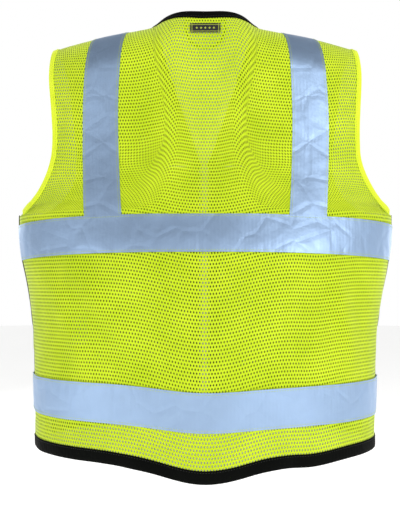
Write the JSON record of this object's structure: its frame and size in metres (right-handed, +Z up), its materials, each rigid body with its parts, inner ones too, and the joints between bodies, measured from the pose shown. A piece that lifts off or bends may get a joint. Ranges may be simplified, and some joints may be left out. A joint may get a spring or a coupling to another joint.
{
  "type": "high visibility vest",
  "caption": "Zip-front netting work vest with wide reflective bands, bound edges, bellows side pockets, chest pockets and shoulder tabs.",
  "frame": {"origin": "between the shoulders, at the height of the shoulder ridge beside the neck", "axes": "+Z up, +X to the wearer's left, the wearer faces -Y"},
  "size_m": [0.5668, 0.3065, 0.6465],
  "materials": {
    "lime_netting": "open polyester netting, fluorescent lime",
    "lime_cloth": "plain woven polyester, fluorescent lime",
    "lime_binding": "folded knit binding, bright lime",
    "black_binding": "folded woven binding, black",
    "black_webbing": "narrow woven webbing, black",
    "reflective_tape": "silver retroreflective tape",
    "woven_label": "woven satin label",
    "care_label": "printed satin label, left blank",
    "hook_and_loop": "hook and loop pile",
    "zip_plastic": "moulded acetal, satin",
    "painted_zinc": "black painted zinc casting"
  },
  "bodies": {
    "torso": {"back_panel": "lime_netting", "neck_binding": "black_binding", "hem_binding_back": "black_binding", "chest_tape_back": "reflective_tape", "waist_tape_back": "reflective_tape", "neck_label": "woven_label", "shoulder_panel_left": "lime_netting", "shoulder_tape_left": "reflective_tape", "armhole_binding_left": "lime_binding", "side_binding_left": "black_binding", "mic_tab_left": "black_webbing", "shoulder_panel_right": "lime_netting", "shoulder_tape_right": "reflective_tape", "armhole_binding_right": "lime_binding", "side_binding_right": "black_binding", "mic_tab_right": "black_webbing"},
    "hanger_loop": {"hanger_loop": "black_webbing"},
    "front_left": {"care_label": "care_label", "zip_insertion_pin": "zip_plastic", "radio_pocket_face": "lime_cloth", "radio_pocket_gusset": "lime_cloth", "radio_loop_pad": "hook_and_loop", "front_panel_left": "lime_netting", "hem_binding_front_left": "black_binding", "chest_tape_front_left": "reflective_tape", "waist_tape_front_left": "reflective_tape", "vertical_tape_front_left": "reflective_tape", "armhole_binding_front_left": "lime_binding", "zip_tape_left": "black_webbing", "zip_teeth_left": "zip_plastic", "zip_top_stop_left": "zip_plastic", "cargo_pocket_left_face": "lime_cloth", "cargo_pocket_left_gusset": "lime_cloth", "cargo_loop_pad_left": "hook_and_loop"},
    "front_right": {"pen_pocket": "lime_cloth", "zip_retainer_box": "zip_plastic", "front_panel_right": "lime_netting", "hem_binding_front_right": "black_binding", "chest_tape_front_right": "reflective_tape", "waist_tape_front_right": "reflective_tape", "vertical_tape_front_right": "reflective_tape", "armhole_binding_front_right": "lime_binding", "zip_tape_right": "black_webbing", "zip_teeth_right": "zip_plastic", "zip_top_stop_right": "zip_plastic", "cargo_pocket_right_face": "lime_cloth", "cargo_pocket_right_gusset": "lime_cloth", "cargo_loop_pad_right": "hook_and_loop"},
    "radio_flap": {"radio_flap": "lime_cloth", "radio_hook_pad": "hook_and_loop"},
    "cargo_flap_left": {"cargo_flap_left": "lime_cloth", "cargo_hook_pad_left": "hook_and_loop"},
    "cargo_flap_right": {"cargo_flap_right": "lime_cloth", "cargo_hook_pad_right": "hook_and_loop"},
    "zip_slider": {"zip_slider": "painted_zinc"},
    "zip_pull_tab": {"zip_pull_tab": "painted_zinc"}
  },
  "joints": [
    {"name": "front_left_swing", "type": "hinge", "parent": "torso", "child": "front_left", "pos_m": [0.28, 0, -0.4], "axis": [0, 0, 1], "range_deg": [0, 40]},
    {"name": "front_right_swing", "type": "hinge", "parent": "torso", "child": "front_right", "pos_m": [-0.28, 0, -0.4], "axis": [0, 0, -1], "range_deg": [0, 40]},
    {"name": "hanger_loop_swing", "type": "hinge", "parent": "torso", "child": "hanger_loop", "pos_m": [0, 0.0685, -0.01056], "axis": [-1, 0, 0], "range_deg": [0, 150]},
    {"name": "radio_flap_lift", "type": "hinge", "parent": "front_left", "child": "radio_flap", "pos_m": [0.06656, -0.11687, -0.19743], "axis": [-0.9962, -0.0865, 0], "range_deg": [0, 95]},
    {"name": "cargo_flap_left_lift", "type": "hinge", "parent": "front_left", "child": "cargo_flap_left", "pos_m": [0.21961, -0.08683, -0.36614], "axis": [-0.8366, -0.5479, 0], "range_deg": [0, 95]},
    {"name": "cargo_flap_right_lift", "type": "hinge", "parent": "front_right", "child": "cargo_flap_right", "pos_m": [-0.21961, -0.08683, -0.36614], "axis": [-0.8366, 0.5479, 0], "range_deg": [0, 95]},
    {"name": "zip_slide", "type": "slide", "parent": "front_right", "child": "zip_slider", "axis": [0, 0.0841, 0.9965], "range_m": [0, 0.412]},
    {"name": "pull_tab_swing", "type": "hinge", "parent": "zip_slider", "child": "zip_pull_tab", "pos_m": [-0.00585, -0.15261, -0.61262], "axis": [-1, 0, 0], "range_deg": [0, 150]}
  ]
}
